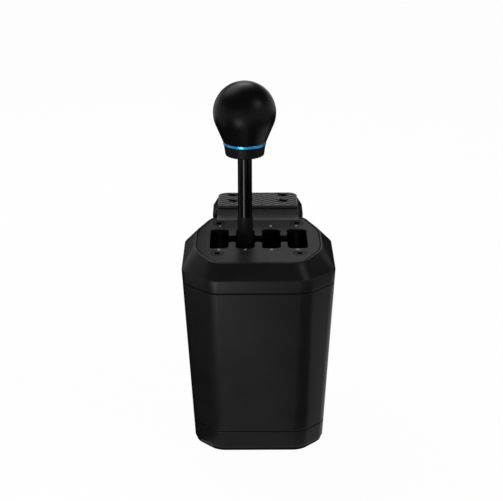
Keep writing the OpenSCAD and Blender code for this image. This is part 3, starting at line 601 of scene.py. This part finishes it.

# Rear bracket: a cast shelf behind the plate with a flange down the housing's back, stiffened by
# two gussets and held by four bolts. Satin black coat, with four slots for the rig's bolts whose walls
# are painted near black as shade.
# A thin grey sheet in front of it is folded from the plate's face up to the grip; its grey is painted
# much lighter than the plate's coat, as light on its front and on the plate strip it laps.
bracket_half_low, bracket_half_top = 40 * MM, 36 * MM
bracket_front_round, bracket_rear_round = 4 * MM, 9 * MM
bracket_edge = 1.0 * MM
bracket_gap = 0.2 * MM
shelf_flare = 0.5 * MM
low_ease, top_ease = 0.5, 0.15
flange_half, flange_t = bracket_half_low, 4 * MM
gusset_h, gusset_in = 40 * MM, 8 * MM
slot_dx, slot_dy, slot_first = 44.6 * MM, 17 * MM, 14.8 * MM
slot_half, slot_r = 5 * MM, 3.28 * MM
slot_end_share = 0.995
bracket_low_corner, bracket_high_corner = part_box("rear_bracket")
bracket_front, bracket_back = bracket_low_corner[1], bracket_high_corner[1]
grip_z, grip_top = (corner[2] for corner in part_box("grip_pad"))
shelf_low = gate_z + bracket_gap
slot_rows = [bracket_front + slot_first, bracket_front + slot_first + slot_dy]
slot_places = [(x, y) for x in (-slot_dx / 2, slot_dx / 2) for y in slot_rows]


def box_corners(x0, x1, y0, y1):
    """Corners of an upright box's outline, anticlockwise."""
    return [Vector((x0, y0)), Vector((x1, y0)), Vector((x1, y1)), Vector((x0, y1))]


def bracket_ring(bm, z, half, inset=0.0):
    """The bracket's rounded outline at a height."""
    corners = box_corners(inset - half, half - inset, bracket_front + inset, bracket_back - inset)
    radii = [bracket_front_round, bracket_front_round, bracket_rear_round, bracket_rear_round]
    return rounded_ring(bm, corners, [radius - inset for radius in radii], z)


def slot_ring(bm, z, x, y):
    """The edge of one round-ended slot."""
    corners = box_corners(x - slot_half, x + slot_half, y - slot_r, y + slot_r)
    return rounded_ring(bm, corners, [slot_r * slot_end_share] * len(corners), z)


def slotted_block(bm, rings, low, high):
    """Closes a block's rings top and bottom, with the four slots through it, their walls on the block's
    second material, which carries painted shade.
    """
    skin(bm, rings)
    slots = [[slot_ring(bm, z, x, y) for z in (low, high)] for x, y in slot_places]
    for slot in slots:
        for inside in skin(bm, slot):
            # Slot walls take the second material, near black: painted shade in the recesses.
            inside.material_index = 1
    cover(bm, rings[0], *[slot[0] for slot in slots])
    cover(bm, rings[-1], *[slot[1] for slot in slots])


# Near black with almost no sheen: painted shade for the insides of the slots, not the bracket's own
# colour.
slot_painted_shade = finish("slot_painted_shade", (0.001, 0.001, 0.001, 1), roughness=0.7, level=0.02)
shelf = bmesh.new()
shelf_rings = [
    bracket_ring(shelf, shelf_low, bracket_half_low, bracket_edge * low_ease),
    bracket_ring(shelf, shelf_low + bracket_edge * low_ease, bracket_half_low),
    bracket_ring(shelf, grip_z - bracket_edge, bracket_half_top + shelf_flare),
    bracket_ring(shelf, grip_z - bracket_edge * ease_share, bracket_half_top, bracket_edge * top_ease),
    bracket_ring(shelf, grip_z, bracket_half_top, bracket_edge),
]
slotted_block(shelf, shelf_rings, shelf_low, grip_z)
satin_black = finish(
    "satin_black_coat",
    (0.006, 0.006, 0.0061, 1),
    roughness=0.42,
    grain=1500,
    depth=0.00004,
    level=0.12,
)
shelf_piece = place_piece(shelf, "bracket_shelf", "housing", "bracket", satin_black)
shelf_piece.data.materials.append(slot_painted_shade)

flange_y = body_back + bracket_gap
flange_low = bracket_low_corner[2]
flange_edge = 0.6 * MM
flange = bmesh.new()


def bar(bm, low, high, edge):
    """A box between two corners with all its edges eased."""
    size = Vector(high) - Vector(low)
    middle = (Vector(high) + Vector(low)) / 2
    made = bmesh.ops.create_cube(bm, size=1, matrix=Matrix.LocRotScale(middle, None, size))
    edges = list({e for v in made["verts"] for e in v.link_edges})
    bmesh.ops.bevel(
        bm,
        geom=edges,
        offset=edge,
        offset_type="OFFSET",
        affect="EDGES",
        segments=2,
        profile=0.5,
        material=-1,
    )


flange_corners = (-flange_half, flange_y, flange_low), (flange_half, flange_y + flange_t, shelf_low)
bar(flange, *flange_corners, flange_edge)
gusset_reach = bracket_back - flange_y - flange_t - gusset_in
for x in (-flange_half, flange_half - flange_t):
    profile = [
        flange.verts.new((x, flange_y + flange_t / 2 + dy, shelf_low - dz))
        for dy, dz in ((0, 0), (0, gusset_h), (gusset_reach, 0))
    ]
    web_side = flange.faces.new(profile)
    web = bmesh.ops.extrude_face_region(flange, geom=[web_side])
    moved = [v for v in web["geom"] if isinstance(v, bmesh.types.BMVert)]
    bmesh.ops.translate(flange, vec=(flange_t, 0, 0), verts=moved)
place_piece(flange, "bracket_flange", "housing", "bracket", satin_black, "rear_bracket")

face_half, face_t, face_proud = 36 * MM, 1.5 * MM, 0.3 * MM
face_reach, face_fold, face_lap, face_gap = 9 * MM, 5.5 * MM, 1.5 * MM, 1.3 * MM
face_lift = 0.1 * MM
face_low, face_y = gate_z + face_lift, bracket_front - face_proud
fold = bend(
    Vector((face_y - face_reach, face_low)),
    Vector((face_y, face_low)),
    Vector((face_y, face_low + face_fold)),
    steps=12,
)
face_start = face_y - face_reach - face_lap
face_path = [Vector((face_start, face_low))] + fold + [Vector((face_y, grip_z - face_gap))]
face_path += [Vector((bracket_front + face_t, z)) for z in (grip_z - face_gap, gate_z + ink_lift)]
face_path.append(Vector((face_start, gate_z + ink_lift)))
face = bmesh.new()
face_end = face.faces.new([face.verts.new((-face_half, y, z)) for y, z in face_path])
face_drawn = bmesh.ops.extrude_face_region(face, geom=[face_end])["geom"]
face_verts = [v for v in face_drawn if isinstance(v, bmesh.types.BMVert)]
bmesh.ops.translate(face, vec=(2 * face_half, 0, 0), verts=face_verts)
# Grey about six times the plate's coat: painted light on the sheet's front and on the plate strip it
# laps, where the lamps give little.
face_painted_light = finish(
    "face_grey_coat",
    (0.058, 0.058, 0.059, 1),
    roughness=0.42,
    grain=1500,
    depth=0.00004,
    level=0.15,
)
place_piece(face, "bracket_face", "housing", "bracket", face_painted_light)

# Grip pad: black rubber on the shelf, moulded with slanting ribs so that a clamp or a rig plate
# holds. The ribs run into a border round the edge, and break at the slots.
grip_margin = 0.6 * MM
rib_h, rib_w, rib_pitch = 0.9 * MM, 3.0 * MM, 4.9 * MM
rib_slant = math.radians(33)
pad_edge = 0.3 * MM
pad = bmesh.new()
pad_top = grip_top - rib_h
pad_half = bracket_half_top - grip_margin
pad_rings = [
    bracket_ring(pad, z, bracket_half_top, grip_margin + inset)
    for z, inset in ((grip_z, 0.0), (pad_top - pad_edge, 0.0), (pad_top, pad_edge))
]
slotted_block(pad, pad_rings, grip_z, pad_top)
pad_rubber = finish(
    "grip_rubber",
    (0.021, 0.021, 0.0216, 1),
    roughness=0.6,
    grain=1600,
    depth=0.00006,
)
pad_piece = place_piece(pad, "grip_sheet", "housing", "grip_rubber", pad_rubber, "grip_pad")
pad_piece.data.materials.append(slot_painted_shade)

ribs = bmesh.new()
rib_edge = 0.25 * MM
rib_root, border_lap = 0.3 * MM, 0.3 * MM
flat_turn = math.radians(1)
slot_rim = 0.15 * MM
border_w = 1.3 * MM
pad_middle = Vector((0, (bracket_front + bracket_back) / 2, 0))
rib_reach = 2 * pad_half
rib_count = math.ceil((pad_half + bracket_back - bracket_front) / rib_pitch)
for i in range(-rib_count, rib_count + 1):
    y = i * rib_pitch
    bar(ribs, (-rib_reach, y, pad_top - rib_root), (rib_reach, y + rib_w, grip_top), rib_edge)
slanted = Matrix.Translation(pad_middle) @ Matrix.Rotation(rib_slant, 4, "Z")
bmesh.ops.transform(ribs, matrix=slanted, verts=ribs.verts)
rib_margin = grip_margin + border_w - border_lap
rib_turns = 4
rib_limits = []
pad_ends = ((bracket_front_round, bracket_front, -1), (bracket_rear_round, bracket_back, 1))
for radius, y, way in pad_ends:
    for side in (-1, 1):
        middle = Vector((side * (bracket_half_top - radius), y - way * radius, 0))
        for i in range(rib_turns + 1):
            turn = math.pi / 2 * i / rib_turns
            out = Vector((side * math.cos(turn), way * math.sin(turn), 0))
            rib_limits.append((middle + out * (radius - rib_margin), out))


def cut_ribs(place, out, clear=False):
    """Cuts all ribs along a plane, and clears what lies outside it if asked."""
    parts = ribs.verts[:] + ribs.edges[:] + ribs.faces[:]
    bmesh.ops.bisect_plane(ribs, geom=parts, plane_co=place, plane_no=out, clear_outer=clear)


def close_ribs():
    """Closes the ribs' open ends."""
    bmesh.ops.holes_fill(ribs, edges=[e for e in ribs.edges if e.is_boundary])


for place, out in rib_limits:
    cut_ribs(place, out, clear=True)
    close_ribs()
gap_x, gap_y = slot_half + slot_rim, slot_r + slot_rim
for x, y in slot_places:
    for edge_x in (x - gap_x, x + gap_x):
        cut_ribs((edge_x, 0, 0), (1, 0, 0))
    for edge_y in (y - gap_y, y + gap_y):
        cut_ribs((0, edge_y, 0), (0, 1, 0))
    over_slot = []
    for patch in ribs.faces:
        middle = patch.calc_center_median()
        if abs(middle.x - x) < gap_x and abs(middle.y - y) < gap_y:
            over_slot.append(patch)
    bmesh.ops.delete(ribs, geom=over_slot, context="FACES")
    close_ribs()
bmesh.ops.dissolve_limit(ribs, angle_limit=flat_turn, verts=ribs.verts, edges=ribs.edges)
border_path = [
    (0, pad_top - rib_edge),
    (0, grip_top - rib_edge),
    (rib_edge, grip_top),
    (border_w - rib_edge, grip_top),
    (border_w, grip_top - rib_edge),
    (border_w, pad_top - rib_edge),
]
border = [bracket_ring(ribs, z, bracket_half_top, grip_margin + inset) for inset, z in border_path]
skin(ribs, border, closed=True)
place_piece(ribs, "grip_ribs", "housing", "grip_rubber", pad_rubber)

# Lever: a matt black steel post comes up through the gate, and a glossy black rod stands in it.
# The rod's lower end is locked in the post by a small screw at the back.
gloss_black = finish(
    "gloss_black",
    (0.002, 0.002, 0.0021, 1),
    roughness=0.06,
    spread=0.02,
    level=0.08,
)
matt_black = finish(
    "matt_black",
    (0.004, 0.004, 0.0041, 1),
    roughness=0.5,
    grain=1800,
    depth=0.00003,
    level=0.1,
)
dress(gloss_black, "lever_rod")
dress(matt_black, "lever_post")

# Knob: a soft-touch black ball drawn down to a neck, a blue anodised ring, and a matt collar.
# All three are turned shapes that sit on a threaded insert at the rod's top.
lever_x = (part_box("lever_rod")[0][0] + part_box("lever_rod")[1][0]) / 2
turn_steps = 72


def turned_piece(name, profile, slot, material, *nodes):
    """A piece turned about the lever's axis from a profile of (radius, height)."""
    bm = bmesh.new()
    points = [bm.verts.new((lever_x + r, 0, z)) for r, z in profile]
    edges = [bm.edges.new((a, b)) for a, b in zip(points, points[1:])]
    bmesh.ops.spin(
        bm,
        geom=points + edges,
        cent=(lever_x, 0, 0),
        axis=(0, 0, 1),
        angle=math.tau,
        steps=turn_steps,
        use_merge=True,
    )
    return place_piece(bm, name, "lever", slot, material, *nodes)


ball_r, neck_r = 26 * MM, 18 * MM
knob_low, knob_high = (corner[2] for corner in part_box("knob_body"))
ring_low, ring_high = (corner[2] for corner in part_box("knob_ring"))
ball_z = knob_high - ball_r
neck_drop = ball_z - knob_low
touch = math.atan2(neck_drop, neck_r) - math.acos(ball_r / math.hypot(neck_r, neck_drop))
ball_steps = 40
bore = 10.1 * MM
ball_turn = math.pi / 2 + touch
knob_profile = []
for i in range(ball_steps + 1):
    a = ball_turn * i / ball_steps
    knob_profile.append((ball_r * math.sin(a), ball_z + ball_r * math.cos(a)))
neck_edge, neck_flare = 0.5 * MM, 0.16 * MM
core_gap = 0.1 * MM
core_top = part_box("knob_insert")[1][2] + core_gap
knob_profile += [
    (neck_r + neck_flare, knob_low + neck_edge),
    (neck_r - neck_edge / 2, knob_low),
    (bore, knob_low),
    (bore, core_top),
    (0, core_top),
]
soft_touch = finish(
    "soft_touch_black",
    (0.003, 0.003, 0.0031, 1),
    roughness=0.36,
    grain=1500,
    depth=0.00003,
    spread=0.08,
    level=0.08,
)
turned_piece("ball_knob", knob_profile, "knob_soft", soft_touch, "knob_body")

ring_r, ring_edge = 17.8 * MM, 0.35 * MM
ring_profile = [(bore, ring_low)]
ring_profile += [(ring_r - inset, z) for z, inset in eased(ring_low, ring_high, ring_edge, ring_edge)]
ring_profile += [(bore, ring_high), (bore, ring_low)]
blue_anodised = finish("blue_anodised", (0.022, 0.25, 0.52, 1), roughness=0.28, metallic=0.6)
turned_piece("blue_ring", ring_profile, "ring_blue", blue_anodised, "knob_ring")

collar_r, collar_low_r = 17.3 * MM, 16.2 * MM
collar_round, collar_edge = 1.4 * MM, 0.3 * MM
collar_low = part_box("knob_collar")[0][2]
round_steps = 8
collar_bore = 6.3 * MM
collar_profile = [(collar_bore, collar_low)]
for i in range(round_steps + 1):
    a = math.pi / 2 * i / round_steps
    r = collar_low_r - collar_round * (1 - math.sin(a))
    collar_profile.append((r, collar_low + collar_round * (1 - math.cos(a))))
collar_profile += [
    (collar_r, ring_low - collar_edge),
    (collar_r - collar_edge, ring_low),
    (collar_bore, ring_low),
    (collar_bore, collar_low),
]
matt_collar = finish(
    "matt_collar",
    (0.004, 0.004, 0.0041, 1),
    roughness=0.45,
    grain=1500,
    depth=0.00003,
    level=0.08,
)
turned_piece("knob_foot", collar_profile, "collar", matt_collar, "knob_collar")

# Studio: white paper under the object, a white sweep round it and a dark ceiling. Two soft lamps hang
# behind it, with a small one low at the front left and one above at the front right.
# Black cards on the floor and standing flags, seen only in reflections, keep the mouldings' sides dark.
paper_white = (0.8, 0.8, 0.8, 1)


def seen_rays(nodes, links):
    """A value that is 1 for rays that show the background: from the camera, a mirror or glass."""
    ray = nodes.new("ShaderNodeLightPath")
    mirrored, seen = nodes.new("ShaderNodeMath"), nodes.new("ShaderNodeMath")
    for larger in (mirrored, seen):
        larger.operation = "MAXIMUM"
    links.new(ray.outputs["Is Glossy Ray"], mirrored.inputs[0])
    links.new(ray.outputs["Is Transmission Ray"], mirrored.inputs[1])
    links.new(ray.outputs["Is Camera Ray"], seen.inputs[0])
    links.new(mirrored.outputs[0], seen.inputs[1])
    return seen.outputs[0]


floor_half = 6
floor_glow = 0.97
floor_mesh = bpy.data.meshes.new("floor")
floor_bm = bmesh.new()
bmesh.ops.create_grid(floor_bm, x_segments=1, y_segments=1, size=floor_half)
floor_bm.to_mesh(floor_mesh)
floor_bm.free()
floor = bpy.data.objects.new("floor", floor_mesh)
bpy.context.scene.collection.objects.link(floor)
paper = bpy.data.materials.new("white_paper")
paper.use_nodes = True
paper_nodes, paper_links = paper.node_tree.nodes, paper.node_tree.links
paper_nodes.remove(paper_nodes["Principled BSDF"])
lit, glow = paper_nodes.new("ShaderNodeBsdfDiffuse"), paper_nodes.new("ShaderNodeEmission")
share, both = paper_nodes.new("ShaderNodeMath"), paper_nodes.new("ShaderNodeMixShader")
lit.inputs["Color"].default_value = paper_white
share.operation = "MULTIPLY"
share.inputs[1].default_value = floor_glow
paper_links.new(seen_rays(paper_nodes, paper_links), share.inputs[0])
paper_links.new(share.outputs[0], both.inputs["Fac"])
paper_links.new(lit.outputs[0], both.inputs[1])
paper_links.new(glow.outputs[0], both.inputs[2])
paper_links.new(both.outputs[0], paper_nodes["Material Output"].inputs["Surface"])
floor_mesh.materials.append(paper)

card_black = bpy.data.materials.new("black_card")
card_black.use_nodes = True
card_shader = card_black.node_tree.nodes["Principled BSDF"]
card_shader.inputs["Base Color"].default_value = (0, 0, 0, 1)
card_shader.inputs["Specular IOR Level"].default_value = 0
card_lift = 0.3 * MM


def dark_card(name, *corners):
    """A black card through corners (x, y) on the floor or (x, y, z), which only reflections show."""
    mesh = bpy.data.meshes.new(name)
    bm = bmesh.new()
    bm.faces.new([bm.verts.new((*corner, card_lift)[:3]) for corner in corners])
    bm.to_mesh(mesh)
    bm.free()
    mesh.materials.append(card_black)
    card = bpy.data.objects.new(name, mesh)
    card.visible_camera = card.visible_diffuse = card.visible_shadow = False
    bpy.context.scene.collection.objects.link(card)


dark_card(
    "left_card",
    (-0.05, -0.09),
    (-0.06, 0.3),
    (-0.44, 0.3),
    (-0.44, -0.11),
    (-0.7, -0.13),
    (-0.7, -0.7),
    (-0.12, -0.7),
)
dark_card(
    "right_card",
    (0.03, -0.09),
    (0.08, -0.7),
    (0.7, -0.7),
    (0.7, -0.1),
    (0.1, -0.05),
)
dark_card(
    "far_card",
    (0.4, -0.06),
    (0.8, -0.08),
    (0.8, 0.14),
    (0.4, 0.12),
)
dark_card(
    "left_flag",
    (-0.05, 0.3, 0),
    (-0.6, 0.15, 0),
    (-0.6, 0.15, 0.17),
    (-0.16, 0.27, 0.17),
    (-0.14, 0.2755, 0.42),
    (-0.05, 0.3, 0.42),
)
dark_card(
    "right_flag",
    (0.07, 0.3, 0),
    (0.6, 0.15, 0),
    (0.6, 0.15, 0.22),
    (0.07, 0.3, 0.22),
)

room_grey = (0.22, 0.22, 0.22, 1)
sweep_top, ceiling_low = 0.2, 0.385
ceiling_tone = 0.06
room = bpy.data.worlds.new("room")
room.use_nodes = True
bpy.context.scene.world = room
room_nodes, room_links = room.node_tree.nodes, room.node_tree.links
plain = room_nodes["Background"]
plain.inputs["Color"].default_value = room_grey
sweep = room_nodes.new("ShaderNodeBackground")
ways, height = room_nodes.new("ShaderNodeTexCoord"), room_nodes.new("ShaderNodeSeparateXYZ")
rise = room_nodes.new("ShaderNodeMapRange")
rise.interpolation_type = "SMOOTHSTEP"
rise.inputs["From Min"].default_value = sweep_top
rise.inputs["From Max"].default_value = ceiling_low
rise.inputs["To Min"].default_value = 1.0
rise.inputs["To Max"].default_value = ceiling_tone
room_mix = room_nodes.new("ShaderNodeMixShader")
room_links.new(ways.outputs["Generated"], height.inputs[0])
room_links.new(height.outputs["Z"], rise.inputs["Value"])
room_links.new(rise.outputs[0], sweep.inputs["Color"])
room_links.new(seen_rays(room_nodes, room_links), room_mix.inputs["Fac"])
room_links.new(plain.outputs[0], room_mix.inputs[1])
room_links.new(sweep.outputs[0], room_mix.inputs[2])
room_links.new(room_mix.outputs[0], room_nodes["World Output"].inputs["Surface"])


def soft_lamp(name, place, aim, size, power):
    """A rectangular soft lamp that faces a point and isn't seen itself."""
    data = bpy.data.lights.new(name, "AREA")
    data.shape = "RECTANGLE"
    data.size, data.size_y = size
    data.energy = power
    lamp = bpy.data.objects.new(name, data)
    lamp.location = place
    lamp.rotation_euler = (Vector(aim) - Vector(place)).to_track_quat("-Z", "Y").to_euler()
    lamp.visible_camera = False
    bpy.context.scene.collection.objects.link(lamp)


gate_middle = (0, 0, gate_z)
soft_lamp("key_lamp", place=(-0.52, 0.6, 1.18), aim=gate_middle, size=(0.8, 0.8), power=7)
soft_lamp("back_lamp", place=(-0.03, 0.96, 1.12), aim=gate_middle, size=(0.5, 0.5), power=5)
soft_lamp("low_lamp", place=(-0.165, -0.42, 0.07), aim=(-0.011, 0, 0.09), size=(0.16, 0.13), power=1.0)
soft_lamp("front_lamp", place=(0.63, -0.39, 0.775), aim=gate_middle, size=(0.25, 0.25), power=2.2)

# Camera: the photograph's view, a hair off level and 20 degrees above the horizon,
# with the gate's middle a little right of the frame's centre and above it.
frame_w, frame_h = 503, 501
gate_seen_x, gate_seen_y = 258.3, 238.6
focal_px = 1400
look_down, roll = math.radians(20), math.radians(0.23)
gate_px = Vector((gate_seen_x - frame_w / 2, frame_h / 2 - gate_seen_y))
gate_depth = 1.1848
view_data = bpy.data.cameras.new("photo_camera")
view_data.sensor_width = 36
view_data.lens = view_data.sensor_width * focal_px / frame_w
view_data.clip_end = 20
view = bpy.data.objects.new("photo_camera", view_data)
bpy.context.scene.collection.objects.link(view)
right = Vector((1, 0, 0))
ahead = Vector((0, math.cos(look_down), -math.sin(look_down)))
up = right.cross(ahead)
offset = gate_px * gate_depth / focal_px
view.location = Vector(gate_middle) - right * offset.x - up * offset.y - ahead * gate_depth
tilt = Matrix.Rotation(math.pi / 2 - look_down, 3, "X")
view.rotation_euler = (Matrix.Rotation(roll, 3, ahead) @ tilt).to_euler()
bpy.context.scene.camera = view
bpy.context.scene.view_settings.view_transform = "Standard"
